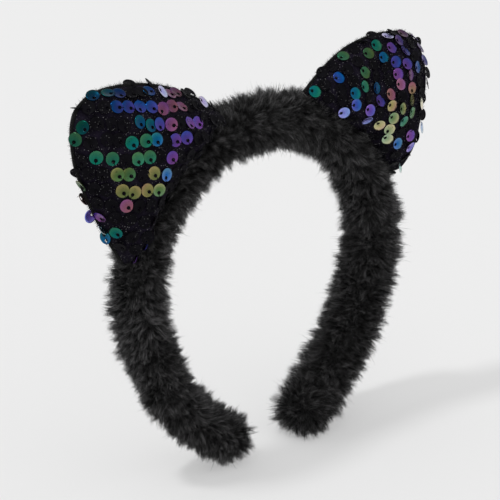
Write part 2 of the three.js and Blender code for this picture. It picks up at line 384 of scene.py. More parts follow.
def split_quads(quads):
    """Two triangles for each quad."""
    return np.concatenate([quads[:, [0, 1, 2]], quads[:, [0, 2, 3]]])


def face_vectors(verts, tris):
    """The normal of each triangle, as long as twice its area."""
    return np.cross(verts[tris[:, 1]] - verts[tris[:, 0]], verts[tris[:, 2]] - verts[tris[:, 0]])


def vertex_normals(verts, tris):
    """The mean direction of the faces around each vertex."""
    normals = np.zeros_like(verts)
    vectors = face_vectors(verts, tris)
    for k in range(3):
        np.add.at(normals, tris[:, k], vectors)
    return unit(normals)


def join(parts):
    """One set of points and faces from several."""
    verts, faces, offset = [], {}, 0
    for part_verts, part_faces in parts:
        verts.append(part_verts)
        for group in part_faces:
            faces.setdefault(group.shape[1], []).append(group + offset)
        offset += len(part_verts)
    return np.concatenate(verts), [np.concatenate(group) for group in faces.values()]


def tube(path, radius, sides=8):
    """A round cord along a path, with its ends closed."""
    path = np.asarray(path, float)
    tangent = unit(np.gradient(path, axis=0))
    first = unit(np.cross(tangent, [0.12, 0.97, 0.2]))
    second = np.cross(tangent, first)
    around = np.arange(sides) / sides * 2 * np.pi
    ring = first[:, None] * np.cos(around)[:, None] + second[:, None] * np.sin(around)[:, None]
    verts = (path[:, None] + ring * radius).reshape(-1, 3)
    j = np.arange(1, sides - 1)
    end = np.stack([np.zeros(sides - 2, int), j, j + 1], -1)
    last = (len(path) - 1) * sides
    return verts, [np.concatenate([end[:, ::-1], end + last]), grid_quads(len(path), sides)[:, ::-1]]


# --- Materials ---


class Shader:
    """A material with a Principled shader and short calls for adding nodes to it.

    Settings are the shader's inputs by name, with _ for a space.
    """

    def __init__(self, name, **settings):
        self.material = bpy.data.materials.new(name)
        self.material.use_nodes = True
        self.tree = self.material.node_tree
        self.surface = self.tree.nodes["Principled BSDF"]
        for key, value in settings.items():
            self.surface.inputs[key.replace("_", " ")].default_value = value

    def node(self, kind, inputs=None, **settings):
        node = self.tree.nodes.new(kind)
        for key, value in settings.items():
            setattr(node, key, value)
        for key, value in (inputs or {}).items():
            self.feed(node.inputs[key], value)
        return node

    def feed(self, socket, value):
        """Links an output to an input, or sets the input's own value."""
        if isinstance(value, bpy.types.NodeSocket):
            self.tree.links.new(value, socket)
        else:
            socket.default_value = value

    def noise(self, scale, detail, place):
        inputs = {"Scale": scale, "Detail": detail, "Vector": place}
        return self.node("ShaderNodeTexNoise", inputs).outputs["Fac"]

    def ramp(self, factor, *stops):
        node = self.node("ShaderNodeValToRGB", {"Fac": factor})
        elements = node.color_ramp.elements
        while len(elements) < len(stops):
            elements.new(1.0)
        for element, (position, colour) in zip(elements, stops):
            element.position = position
            element.color = (*colour, 1.0)
        return node.outputs["Color"]

    def mottle(self, place, scale, detail, low, high):
        """Soft patches between two colours."""
        return self.ramp(self.noise(scale, detail, place), (0.3, low), (0.7, high))

    def mix(self, factor, a, b, blend="MIX"):
        node = self.node("ShaderNodeMix", data_type="RGBA", blend_type=blend)
        for index, value in ((0, factor), (6, a), (7, b)):
            self.feed(node.inputs[index], value)
        return node.outputs[2]

    def spread(self, factor, low, high):
        node = self.node("ShaderNodeMapRange", {"Value": factor, "To Min": low, "To Max": high})
        return node.outputs["Result"]

    def object_place(self):
        return self.node("ShaderNodeTexCoord").outputs["Object"]

    def uv(self):
        return self.node("ShaderNodeUVMap", uv_map="OFBake").outputs["UV"]

    def set(self, name, socket):
        self.tree.links.new(socket, self.surface.inputs[name])

    def bump(self, height, strength, distance):
        inputs = {"Height": height, "Strength": strength, "Distance": distance}
        self.set("Normal", self.node("ShaderNodeBump", inputs).outputs["Normal"])


def grey(value):
    """A neutral colour in linear light."""
    return (value, value, value)


def fur_material(name="fur"):
    """Dark at the root as painted shade deep in the pile, and softly grey at the tip as painted light on
    the tips. Strands differ a little in tone.
    """
    s = Shader(name, Roughness=0.42, Specular_IOR_Level=0.4, Sheen_Weight=0.08, Sheen_Roughness=0.4)
    split = s.node("ShaderNodeSeparateXYZ", {"Vector": s.uv()})
    # Painted shade and light along each hair: dark at the root, grey at the tip.
    along = s.ramp(split.outputs["Y"], (0.0, grey(0.02)), (0.4, grey(0.10)), (1.0, grey(0.36)))
    tip_tone = (0.80, 0.78, 0.80)
    tone = s.ramp(split.outputs["X"], (0.0, grey(0.008)), (0.45, grey(0.046)), (1.0, tip_tone))
    s.set("Base Color", s.mix(1.0, along, tone, "MULTIPLY"))
    return s.material


def ribbed_material(name, scale, distortion, tones, depth, **settings):
    """Dark thread or knit with fine ribs. tones are those of the grooves and of the ribs."""
    s = Shader(name, **settings)
    inputs = {"Vector": s.object_place(), "Scale": scale, "Distortion": distortion}
    ribs = s.node("ShaderNodeTexWave", inputs).outputs["Fac"]
    s.set("Base Color", s.ramp(ribs, (0.0, grey(tones[0])), (1.0, grey(tones[1]))))
    s.bump(ribs, 0.4, depth)
    return s.material


def backing_material():
    """The knitted ground of the fur cloth, almost hidden by its pile."""
    return ribbed_material("fur_ground", 900.0, 2.0, (0.001, 0.004), 0.0002, Roughness=0.9)


# --- The arch ---


def arch_point(angle):
    """A point on the middle line of the band."""
    t = np.radians(angle)
    x = ARCH_HALF_WIDTH * np.sin(t) * (1 + ARCH_TAPER * np.cos(t))
    z = ARCH_CENTRE_HEIGHT + ARCH_HALF_HEIGHT * np.cos(t)
    return np.stack([x, np.full_like(x, ARCH_SET_BACK), z], -1)


def arch_directions(angle, side):
    """Unit vectors along the arch away from the crown, and out away from the head."""
    nudge = ANGLE_NUDGE * side
    along = unit(arch_point(angle + nudge) - arch_point(angle - nudge))
    out = np.stack([-along[..., 2] * side, np.zeros_like(along[..., 0]), along[..., 0] * side], -1)
    return along, out


def lengths_along(points):
    """How far along a line each of its points is."""
    return np.concatenate([[0], np.cumsum(np.linalg.norm(np.diff(points, axis=0), axis=1))])


ARCH_ANGLES = np.linspace(0, TIP_ANGLE, 2000)
ARCH_LENGTHS = lengths_along(arch_point(ARCH_ANGLES))
LEG_LENGTH = ARCH_LENGTHS[-1]


def angle_at(length):
    """The angle of the arch at a distance along it from the crown."""
    return np.interp(length, ARCH_LENGTHS, ARCH_ANGLES)


def by_side(values, word, length):
    """Blends a quantity from its value at the crown to the one on a leg."""
    share = np.clip(length / BLEND_LENGTH, 0, 1) ** BLEND_POWER
    return values["crown"] + (values[word] - values["crown"]) * share


def near_tip(length, span):
    """Rises from 0 to 1 over the last part of a leg."""
    return np.clip((length - LEG_LENGTH + span) / span, 0, 1) ** 2


# --- The fur band ---


def lumps(distance, around):
    """How much the band swells and twists, about -1 to 1. distance is signed, across the crown."""
    draws = rng("lumps")
    total = np.zeros(np.broadcast(distance, around).shape)
    for wavelength, turns, weight in LUMPS:
        phase = draws.uniform(0, 2 * np.pi)
        total += weight * np.sin(2 * np.pi * distance / wavelength + turns * around + phase)
    return total


def band_rings(word):
    """For each ring: its place on the leg, how far past it, its size, and its whole distance."""
    rings = [
        (length, TIP_REACH[word] * near_tip(length, TIP_REACH_SPAN), 1.0, length)
        for length in np.linspace(0, LEG_LENGTH, int(LEG_LENGTH / RING_STEP))
    ]
    radius = by_side(BACKING_RADIUS, word, LEG_LENGTH)
    for turn in np.radians(CAP_TURNS):
        bulge = radius * np.sin(turn)
        rings.append((LEG_LENGTH, TIP_REACH[word] + bulge, np.cos(turn), LEG_LENGTH + bulge))
    return rings


def band_surface(side, word):
    """The ground cloth of one half, from the crown to the closed tip, and each point's place on the leg."""
    around = np.arange(RING_POINTS) / RING_POINTS * 2 * np.pi
    rings = band_rings(word)
    points = []
    for length, beyond, size, distance in rings:
        angle = side * angle_at(length)
        facing = angle if length > 0 else side * JUST_OFF_CROWN
        along, out = arch_directions(np.array(facing), side)
        radius = by_side(BACKING_RADIUS, word, length) + LUMP_HEIGHT * lumps(side * distance, around)
        radius = radius * size
        shift = np.interp(angle_at(length), SHIFT_ANGLES, BAND_SHIFT[word])
        forward = TIP_FORWARD[word] * near_tip(length, TIP_FORWARD_SPAN)
        centre = arch_point(np.array(angle)) + out * shift - np.array([0, forward, 0])
        ring = centre + along * beyond + out * (radius * np.cos(around))[:, None]
        points.append(ring + np.array([0, 1, 0]) * (SECTION_DEPTH * radius * np.sin(around))[:, None])
    end = centre + along * (TIP_REACH[word] + by_side(BACKING_RADIUS, word, LEG_LENGTH))
    verts = np.concatenate([*points, end[None]])
    quads = grid_quads(len(points), RING_POINTS)[:, [0, 3, 2, 1]]
    tris = fan((len(points) - 1) * RING_POINTS, RING_POINTS, len(verts) - 1)
    if side > 0:
        quads = quads[:, ::-1]
        tris = tris[:, ::-1]
    lengths = np.repeat([ring[0] for ring in rings], RING_POINTS)
    return verts, quads, tris, np.append(lengths, LEG_LENGTH)


def scatter(draws, verts, tris, count):
    """Random points on triangles, evenly by area: their places, triangles and corner weights."""
    area = np.linalg.norm(face_vectors(verts, tris), axis=1) / 2
    chosen = draws.choice(len(tris), count, p=area / area.sum())
    u = draws.random(count)
    v = draws.random(count)
    flip = u + v > 1
    u[flip], v[flip] = 1 - u[flip], 1 - v[flip]
    weights = np.stack([1 - u - v, u, v], -1)
    places = (verts[tris[chosen]] * weights[..., None]).sum(1)
    return places, chosen, weights


def strand_meshes(centrelines, radii, tones, draws):
    """Closed three-sided hairs. centrelines is (hairs, points, 3) and its last point is the tip."""
    hairs, points = centrelines.shape[:2]
    axis = unit(centrelines[:, 1] - centrelines[:, 0])
    helper = unit(draws.normal(size=(hairs, 3)))
    first = unit(np.cross(axis, helper))
    second = np.cross(axis, first)
    turn = np.arange(3) * 2 * np.pi / 3
    ring = first[:, None] * np.cos(turn)[:, None] + second[:, None] * np.sin(turn)[:, None]
    verts = [centrelines[:, None, j] + ring * radii[:, j, None, None] for j in range(points - 1)]
    verts = np.concatenate([*verts, centrelines[:, None, -1]], 1)
    per_hair = verts.shape[1]
    base = (np.arange(hairs) * per_hair)[:, None]
    caps = np.array([[0, 2, 1]])
    sides = []
    for j in range(points - 2):
        for k in range(3):
            n = (k + 1) % 3
            sides.append([3 * j + k, 3 * j + n, 3 * (j + 1) + n, 3 * (j + 1) + k])
    ends = [[3 * (points - 2) + k, 3 * (points - 2) + (k + 1) % 3, per_hair - 1] for k in range(3)]
    tri_pattern = np.concatenate([caps, np.array(ends)])
    tri_faces = (base[:, :, None] + tri_pattern[None]).reshape(-1, 3)
    quad_faces = (base[:, :, None] + np.array(sides)[None]).reshape(-1, 4)
    height = np.concatenate([np.repeat(np.linspace(0.02, 0.8, points - 1), 3), [0.98]])
    uv = np.stack([np.repeat(tones, per_hair), np.tile(height, hairs)], -1)
    return verts.reshape(-1, 3), [tri_faces, quad_faces], uv


def nearest(points, targets, chunk=4000):
    """Index of the nearest target to each point, in chunks to keep memory small."""
    found = []
    for start in range(0, len(points), chunk):
        part = points[start : start + chunk]
        gaps = ((part[:, None] - targets[None]) ** 2).sum(-1)
        found.append(gaps.argmin(1))
    return np.concatenate(found)


def is_inside(point, solid):
    """Whether a ray from a point meets the inner side of a closed surface first."""
    _, normal, _, _ = solid.ray_cast(point, PROBE_WAY)
    return normal is not None and normal.dot(PROBE_WAY) > 0


def kept_outside(points, solid):
    """Moves points that are inside a closed surface out to just above its nearest place."""
    flat = points.reshape(-1, 3).copy()
    for index, point in enumerate(flat):
        point = Vector(point)
        place, normal, _, _ = solid.find_nearest(point, PILE_REACH)
        if place is not None and (point - place).dot(normal) < 0 and is_inside(point, solid):
            flat[index] = place + normal * PILE_CLEARANCE
    return flat.reshape(points.shape)


def on_cloth(draws, cloth, count):
    """Random places on the ground cloth, with the cloth's normal and the place on the leg at each."""
    verts, tris, normals, lengths = cloth
    places, chosen, weights = scatter(draws, verts, tris, count)
    corners = tris[chosen]
    normal = unit((normals[corners] * weights[..., None]).sum(1))
    return places, normal, (lengths[corners] * weights).sum(1)


def scatter_clumps(draws, cloth, word):
    """The clumps of the pile: roots, lay, share of the pile's length, and the tips they draw to."""
    verts, tris = cloth[:2]
    area = (np.linalg.norm(face_vectors(verts, tris), axis=1) / 2).sum()
    count = int(area / CLUMP_SPACING**2)
    roots, normal, distance = on_cloth(draws, cloth, count)
    lay = lay_of(roots)
    share = draws.uniform(*CLUMP_LENGTHS, count)
    length = by_side(PILE_LENGTH, word, distance) * share
    way = unit(normal + lay + LOCK_WAY_SPREAD * draws.normal(size=(count, 3)))
    return roots, lay, share, roots + way * length[:, None]


def scatter_locks(draws, cloth, word):
    """What the hairs of each lock share, by name."""
    clump_roots, lay, share, tips = scatter_clumps(draws, cloth, word)
    count = FUR_PIECES * LOCKS_PER_PIECE
    root, normal, distance = on_cloth(draws, cloth, count)
    clump = nearest(root, clump_roots)
    length = by_side(PILE_LENGTH, word, distance) * share[clump] * draws.uniform(*LOCK_LENGTHS, count)
    way = unit(normal + LOCK_LAY * lay[clump] + LOCK_WAY_SPREAD * draws.normal(size=(count, 3)))
    pull = CLUMP_PULL * draws.uniform(*CLUMP_PULL_SHARES, count)
    curl = draws.normal(size=(count, 3)) * LOCK_CURL
    tone = draws.normal(*LOCK_TONE, count) + draws.normal(0, CLUMP_TONE_SPREAD, len(tips))[clump]
    # Painted shade: the pile is made darker near the crown and toward the leg tips.
    tone -= CROWN_PAINTED_SHADE * np.exp(-((distance / CROWN_SHADE_LENGTH) ** 2))
    tone -= TIP_PAINTED_SHADE * np.clip((distance - TIP_SHADE_START) / TIP_SHADE_LENGTH, 0, 1)
    return {
        "root": root, "normal": normal, "distance": distance, "length": length, "way": way,
        "pull": pull, "curl": curl, "tone": tone, "clump_tip": tips[clump],
    }


def grow_hairs(draws, lock, side, ear):
    """Middle lines, radii and tones of all hairs. lock has one row for each hair."""
    count = len(lock["root"])
    aside = draws.normal(size=(count, 3)) * HAIR_SPREAD
    aside -= lock["normal"] * (aside * lock["normal"]).sum(-1, keepdims=True)
    length = lock["length"] * draws.uniform(*HAIR_LENGTHS, count)
    stray = draws.random(count) < STRAY_SHARE
    length[stray] *= STRAY_LENGTH
    spread = np.where(stray, STRAY_WAY_SPREAD, HAIR_WAY_SPREAD)[:, None]
    way = unit(lock["way"] + spread * draws.normal(size=(count, 3)))
    shape = np.array([place for place, _ in HAIR_SHAPE] + [1.0])
    line = (lock["root"] + aside)[:, None] + way[:, None] * (length[:, None] * shape)[..., None]
    toward = lock["clump_tip"] - line[:, -1] - aside * HAIR_CLOSING
    pull = np.where(stray, STRAY_PULL, 1.0) * lock["pull"]
    bend = (shape**CLUMP_BEND_POWER)[None, :] * pull[:, None]
    curl = lock["curl"] + HAIR_CURL * draws.normal(size=(count, 3))
    line = line + toward[:, None] * bend[..., None] + curl[:, None] * np.sin(np.pi * shape)[:, None]
    line[:, 0] -= lock["normal"] * HAIR_ROOT_DEPTH
    line[..., 0] -= (side * CROSSING * np.clip(1 - lock["distance"] / CROSSING_LENGTH, 0, 1))[:, None]
    floor = FLOOR_CLEARANCE + FLOOR_SCATTER * draws.random((count, 1))
    line[..., 2] = np.maximum(line[..., 2], floor)
    near_ear = np.abs(angle_at(lock["distance"]) - EAR_MIDDLE_ANGLE) < EAR_REACH_ANGLE
    line[near_ear, 1:] = kept_outside(line[near_ear, 1:], ear)
    tones = np.clip(lock["tone"] + HAIR_TONE_SPREAD * draws.normal(size=count), *TONE_LIMITS)
    widths = np.array([width for _, width in HAIR_SHAPE])
    return line, HAIR_RADIUS * draws.uniform(*HAIR_RADII, (count, 1)) * widths, tones


def make_fur_half(side, word, material, ground, ear):
    """The ground cloth of one half, and its pile in pieces from the crown to the tip."""
    verts, quads, caps, lengths = band_surface(side, word)
    pieces = [add_mesh(f"fur_ground_{word}", verts, [caps, quads], [ground])]
    tris = np.concatenate([split_quads(quads), caps])
    draws = rng(f"fur {word}")
    locks = scatter_locks(draws, (verts, tris, vertex_normals(verts, tris), lengths), word)
    lock = {name: np.repeat(values, HAIRS_PER_LOCK, axis=0) for name, values in locks.items()}
    line, radii, tones = grow_hairs(draws, lock, side, ear)
    order = np.argsort(lock["distance"], kind="stable")
    for index, part in enumerate(np.array_split(order, FUR_PIECES)):
        points, faces, uv = strand_meshes(line[part], radii[part], tones[part], draws)
        piece = add_mesh(f"fur_pile_{word}_{index + 1}", points, faces, [material])
        set_uv(piece, uv)
        pieces.append(piece)
    return pieces


def lay_of(places):
    """Which way the pile leans, as handling has left it: downward and in slow swirls."""
    draws = rng("lay")
    swirl = np.zeros((len(places), 3))
    for size in SWIRL_SIZES:
        waves = draws.normal(size=(3, 3)) * 2 * np.pi / size / SWIRL_STRETCH
        phases = draws.uniform(0, 2 * np.pi, 3)
        swirl += SWIRL_LEAN * np.sin(places @ waves.T + phases)
    return swirl + np.array(PILE_LAY)


def make_fur(ears):
    """Both halves of the band's fur. Their first two pieces, which reach from the crown onto a leg, stay in
    place; the others ride on the leg.
    """
    material = fur_material()
    ground = backing_material()
    for word, side in SIDES.items():
        pieces = make_fur_half(side, word, material, ground, ears[word])
        leg = f"{word}_leg"
        for index, piece in enumerate(pieces):
            if index < 2:
                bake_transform(piece)
            else:
                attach(piece, leg)
        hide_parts(f"fur_sleeve_{word}", *(["fur_sleeve_crown"] if side < 0 else []))


# --- Ears ---


def quadratic(a, control, b, steps):
    """Points of a bend from a toward b, which itself is left out."""
    t = np.linspace(0, 1, steps, endpoint=False)[:, None]
    return a * (1 - t) ** 2 + 2 * control * t * (1 - t) + b * t**2


def plane_point(angle, outward):
    """Points in the arch's plane, x and height, at distances out from the arch's right half."""
    angle = np.asarray(angle, float)
    out = arch_directions(angle, 1)[1]
    point = arch_point(angle) + out * np.asarray(outward, float)[..., None]
    return point[..., [0, 2]]


def free_edge(shape):
    """The sewn outline of an ear, from the upper end of its base over the tip to the lower end."""
    start = plane_point(shape["start"], shape["foot_out"])
    end = plane_point(shape["end"], shape["foot_out"])
    tip = np.array([shape["tip_x"], ARCH_CENTRE_HEIGHT + shape["tip_above"]])

    def bowed(a, b, share, bow):
        step = b - a
        return a + step * share + np.array([-step[1], step[0]]) / np.linalg.norm(step) * bow

    upper = bowed(start, tip, 0.42, shape["upper_bow"])
    lower = bowed(tip, end, 0.5, shape["lower_bow"])
    into = tip + unit(upper - tip) * EAR_TIP_ROUNDING
    onward = tip + unit(lower - tip) * EAR_TIP_ROUNDING
    parts = [
        quadratic(start, upper, into, 60),
        quadratic(into, tip, onward, 30),
        quadratic(onward, lower, end, 60),
    ]
    return np.concatenate([*parts, end[None]])


def resample(points, count):
    """The same line with count points, evenly spaced."""
    length = lengths_along(points)
    wanted = np.linspace(0, length[-1], count)
    return np.stack([np.interp(wanted, length, points[:, k]) for k in range(points.shape[1])], -1)


def base_line(shape, share):
    """Angles on the arch and distances out of an ear's base, which share crosses from -1 to 1."""
    angle = shape["start"] + (shape["end"] - shape["start"]) * (share + 1) / 2
    outward = shape["foot_out"] - (shape["foot_out"] - shape["base_out"]) * (1 - np.abs(share) ** 5)
    return angle, outward


def ear_rim(shape, face):
    """The closed edge of one face of an ear: sewn edge in the seam's plane, then the base on the fur."""
    edge = resample(free_edge(shape), EDGE_POINTS)
    edge = np.insert(edge, 1, SEAM_PLANE, axis=1)
    share = np.linspace(1, -1, BASE_POINTS + 2)[1:-1]
    angle, outward = base_line(shape, share)
    place = plane_point(angle, outward)
    depth = np.sqrt(np.clip(shape["seat_radius"] ** 2 - outward**2, 0, None))
    y = ARCH_SET_BACK + face * depth
    y = SEAM_PLANE + (y - SEAM_PLANE) * (1 - np.abs(share) ** 6)
    rim = np.concatenate([edge, np.stack([place[:, 0], y, place[:, 1]], -1)])
    return turned_forward(rim, shape)


def turned_forward(points, shape):
    """Leans the outer part of an ear toward the front, the more so the further it is from the band."""
    away = np.clip(points[..., 0] - LEAN_START, 0, None)
    return points - away[..., None] * np.array([0, shape["forward"], 0])


class EarFace:
    """One puffed face of an ear. Each ray runs from the belly (0) to the rim (1)."""

    def __init__(self, side, shape, face):
        self.side = side
        self.face = face
        self.rim = ear_rim(shape, face)
        belly = plane_point(shape["belly_angle"], shape["belly_out"])
        depth = shape["front_depth"] if face < 0 else shape["back_depth"]
        centre = np.array([belly[0], SEAM_PLANE + face * depth, belly[1]])
        self.centre = turned_forward(centre, shape)
        rise = np.sin(np.linspace(0, 1, EAR_RINGS) * np.pi / 2)[:, None, None]
        grid = self.centre + (self.rim - self.centre) * rise
        fall = 1 - (1 - rise[..., 0] ** PUFF_FULLNESS) ** PUFF_ROUNDNESS
        grid[..., 1] = self.centre[1] + (self.rim[:, 1] - self.centre[1]) * fall
        dents = puckers(grid.reshape(-1, 3), f"{side} {face}").reshape(grid.shape[:2])
        grid[..., 1] += face * dents * np.clip(1 - fall, 0, 1) ** 0.5
        self.grid = grid * [side, 1, 1]

    def mesh(self):
        """Points and faces of the outer surface. The rim's points come before the belly, the last one."""
        rings, count = EAR_RINGS - 1, len(self.rim)
        verts = np.concatenate([self.grid[1:].reshape(-1, 3), self.grid[:1, 0]])
        quads = grid_quads(rings, count)
        tris = fan(0, count, rings * count)
        if (face_vectors(verts, tris)[:, 1] * self.face).sum() < 0:
            quads, tris = quads[:, ::-1], tris[:, ::-1]
        return verts, quads, tris

    def rim_index(self):
        """Where the rim's points are among those of the mesh."""
        return (EAR_RINGS - 2) * len(self.rim) + np.arange(len(self.rim))


def puckers(places, name):
    """Small soft dents over the stuffing."""
    draws = rng(f"puckers {name}")
    total = np.zeros(len(places))
    for size, depth in PUCKERS:
        way = unit(draws.normal(size=3)) * 2 * np.pi / size
        total += depth * np.sin(places @ way + draws.uniform(0, 2 * np.pi))
    return total


def thicken(verts, quads, tris, rim, thickness):
    """A closed sheet of cloth: the outer face, the same face inside it, and the edge between."""
    inner = verts - vertex_normals(verts, np.concatenate([split_quads(quads), tris])) * thickness
    count = len(verts)
    a, b = rim, np.roll(rim, -1)
    edge = np.stack([a, a + count, b + count, b], -1)
    if not directed(quads, a[0], b[0]):
        edge = edge[:, ::-1]
    quads = np.concatenate([quads, quads[:, ::-1] + count, edge])
    tris = np.concatenate([tris, tris[:, ::-1] + count])
    return np.concatenate([verts, inner]), [quads, tris]


def directed(quads, a, b):
    """Whether some quad runs from corner a to corner b in that order."""
    following = np.roll(quads, -1, axis=1)
    return bool(((quads == a) & (following == b)).any())


def base_sheet(shape, side):
    """The surface that closes an ear's base, over the pressed pile. It faces the band."""
    angle, outward = base_line(shape, np.linspace(-1, 1, BASE_POINTS))
    radius = shape["seat_radius"]
    opening = np.arccos(np.clip(outward / radius, -1, 1))
    turn = opening[:, None] * np.linspace(-1, 1, BASE_COLUMNS)
    angles = np.repeat(angle[:, None], BASE_COLUMNS, 1)
    place = plane_point(angles, radius * np.cos(turn) - BASE_SINK)
    y = ARCH_SET_BACK + radius * np.sin(turn)
    verts = turned_forward(np.stack([place[..., 0], y, place[..., 1]], -1), shape)
    quads = grid_quads(BASE_POINTS, BASE_COLUMNS, closed=False)
    return verts.reshape(-1, 3) * [side, 1, 1], quads[:, ::-side]


def gusset(shape, side):
    """The strip of cloth that closes an ear's base, from its front edge to its back edge."""
    verts, quads = base_sheet(shape, side)
    index = np.arange(BASE_POINTS * BASE_COLUMNS).reshape(BASE_POINTS, BASE_COLUMNS)
    rim = np.concatenate([index[0], index[1:-1, -1], index[-1, :0:-1], index[:0:-1, 0]])
    return thicken(verts, quads, np.zeros((0, 3), int), rim, CLOTH_THICKNESS)


def filling(faces):
    """Both faces of an ear as one body. They meet at the sewn edge, and a bridge closes the base."""
    (front, front_quads, front_tris), (back, back_quads, back_tris) = (face.mesh() for face in faces)
    half = len(front)
    a = faces[0].rim_index()
    b = np.roll(a, -1)
    bridge = np.stack([a, b, b + half, a + half], -1)[EDGE_POINTS - 1 :]
    quads = np.concatenate([front_quads, back_quads + half, bridge])
    return np.concatenate([front, back]), [quads, np.concatenate([front_tris, back_tris + half])]


# --- Sequins ---


def sequin_shape():
    """One cupped sequin that faces +Z: its points, its front faces, back faces and edge faces."""
    turn = np.arange(SEQUIN_SIDES) / SEQUIN_SIDES * 2 * np.pi
    circle = np.stack([np.cos(turn), np.sin(turn)], -1)
    hole = circle * SEQUIN_HOLE + [0, SEQUIN_HOLE_OUT]
    shares = np.array(SEQUIN_RINGS)[:, None, None]
    flat = hole + (circle * SEQUIN_RADIUS - hole) * shares
    distance = np.linalg.norm(flat, axis=-1) / SEQUIN_RADIUS
    front = np.concatenate([flat, (SEQUIN_CUP * distance**2)[..., None]], -1).reshape(-1, 3)
    back = front - [0, 0, SEQUIN_THICKNESS]
    face = grid_quads(len(SEQUIN_RINGS), SEQUIN_SIDES)
    total = len(front)
    j = np.arange(SEQUIN_SIDES)
    k = (j + 1) % SEQUIN_SIDES
    outer = total - SEQUIN_SIDES
    rim = np.stack([outer + k, outer + j, outer + j + total, outer + k + total], -1)
    hole_wall = np.stack([j, k, k + total, j + total], -1)
    edges = np.concatenate([rim, hole_wall])
    return np.concatenate([front, back]), face, face[:, ::-1] + total, edges


def sewn_places(face, word):
    """Where sequins are sewn: lines of them laid over the puffed cloth, measured along its surface."""
    draws = rng(f"sewn {word}")
    numbers = np.arange(-SEQUIN_LINES, SEQUIN_LINES + 1)
    line, place = (n.ravel() for n in np.meshgrid(numbers, numbers, indexing="ij"))
    count = len(line)
    along = (place + 0.5 * (line % 2)) * SEQUIN_STEP
    along = along + draws.uniform(-SEQUIN_STRAY_ALONG, SEQUIN_STRAY_ALONG, count)
    aside = line * SEQUIN_LINE_GAP + draws.uniform(-SEQUIN_STRAY_ASIDE, SEQUIN_STRAY_ASIDE, count)
    turn = math.radians(SEQUIN_LINES_TURN[word])
    x = along * math.cos(turn) - aside * math.sin(turn)
    z = along * math.sin(turn) + aside * math.cos(turn)
    steps = np.linalg.norm(np.diff(face.grid, axis=0), axis=2)
    reach = np.concatenate([np.zeros((1, len(face.rim))), np.cumsum(steps, 0)])
    rays = unit((face.rim - face.centre)[:, [0, 2]]) * [face.side, 1]
    places, chosen = [], []
    for index, (across, up) in enumerate(zip(x, z)):
        distance = math.hypot(across, up)
        way = np.array([across, up]) / max(distance, 1e-6)
        ray = int((rays @ way).argmax())
        at_base = ray >= EDGE_POINTS - 1
        if distance > reach[-1, ray] + (-SEQUIN_SHORT_OF_BASE if at_base else SEQUIN_PAST_EDGE):
            continue
        ring = np.interp(distance, reach[:, ray], np.arange(EAR_RINGS))
        inner = min(int(ring), EAR_RINGS - 2)
        share = ring - inner
        places.append(face.grid[inner, ray] * (1 - share) + face.grid[inner + 1, ray] * share)
        chosen.append(index)
    return np.array(places), line[chosen], place[chosen]


def iridescent(phase, value):
    """Colour of the bright side from the phase of its film, 0 to 1 once round, in linear light. Its value
    brightens it as painted reflection, and high values wash it toward white as painted glare.
    """
    stops = np.array(IRIDESCENCE, float) / 255
    linear = np.where(stops < 0.04045, stops / 12.92, ((stops + 0.055) / 1.055) ** 2.4)
    at = np.asarray(phase) % 1 * len(stops)
    low = np.floor(at).astype(int)
    share = (at - low)[..., None]
    colour = linear[low % len(stops)] * (1 - share) + linear[(low + 1) % len(stops)] * share
    value = np.asarray(value)[..., None]
    glare = np.interp(value, GLARE_VALUES, GLARE_WHITENESS)
    return np.clip(colour * np.minimum(value, HIGHEST_VALUE) * (1 - glare) + glare, 0, 1)


def is_brushed(word, line, place):
    """Whether the sequin at a place on a line is brushed bright side out."""
    return any(first <= place < first + run for first, run in BRUSHED[word].get(line, ()))


def sew_sequins(word, side, face):
    """Every sequin of one ear: its centre, its directions, and the phase and value of its film."""
    draws = rng(f"sequins {word}")
    verts, quads, tris = face.mesh()
    tree = BVHTree.FromPolygons(verts.tolist(), quads.tolist() + tris.tolist())
    places, line, place = sewn_places(face, word)
    hits = [tree.find_nearest(Vector(spot)) for spot in places]
    ground = np.array([hit[0] for hit in hits])
    cloth = np.array([hit[1] for hit in hits])
    count = len(places)
    hole_way = unit(np.array(HOLE_WAY[word], float))
    hole_way = hole_way + SEQUIN_TURN_SPREAD * draws.normal(size=(count, 3))
    at_rim = np.clip(1 - RIM_STEEPNESS * np.abs(cloth[:, 1]), 0, 1)
    loose = (SEQUIN_LOOSE + SEQUIN_LOOSE_AT_RIM * at_rim)[:, None]
    normal = unit(cloth + loose * draws.normal(size=(count, 3)) - SEQUIN_SAG * unit(hole_way))
    up = unit(hole_way - (hole_way * normal).sum(-1, keepdims=True) * normal)
    lift = draws.uniform(*SEQUIN_LIFTS, count) + SEQUIN_LIFT_AT_RIM * at_rim * draws.random(count)
    sewn = SimpleNamespace(
        at=list(zip(line, place)), cloth=cloth, normal=normal, up=up, across=np.cross(up, normal),
        centre=ground + normal * lift[:, None],
        phase=film_phase(word, line, place) + FILM_PHASE_SPREAD * draws.normal(size=count),
        # value is the film's brightness: painted reflection by the way each sequin faces.
        value=painted_film_reflection(side, cloth) * draws.uniform(*FILM_REFLECTION_SHARES, count),
        bright=np.array([is_brushed(word, *at) for at in zip(line, place)]),
    )
    stand_on_edge(sewn, word)
    hang_over_edge(sewn, word, side, face)
    return sewn


def stand_on_edge(sewn, word):
    """Turns up the few sequins that catch the light, and paints their film pale as glints."""
    for index, at in enumerate(sewn.at):
        if at in STANDING[word]:
            sewn.normal[index] = unit(np.array(STANDING[word][at]))
            sewn.up[index] = unit(np.cross(sewn.normal[index], (0, 1, 0)))
            sewn.across[index] = np.cross(sewn.up[index], sewn.normal[index])
            sewn.centre[index] += sewn.cloth[index] * STANDING_LIFT
            sewn.bright[index] = True
            sewn.value[index] = STANDING_GLINT_VALUE


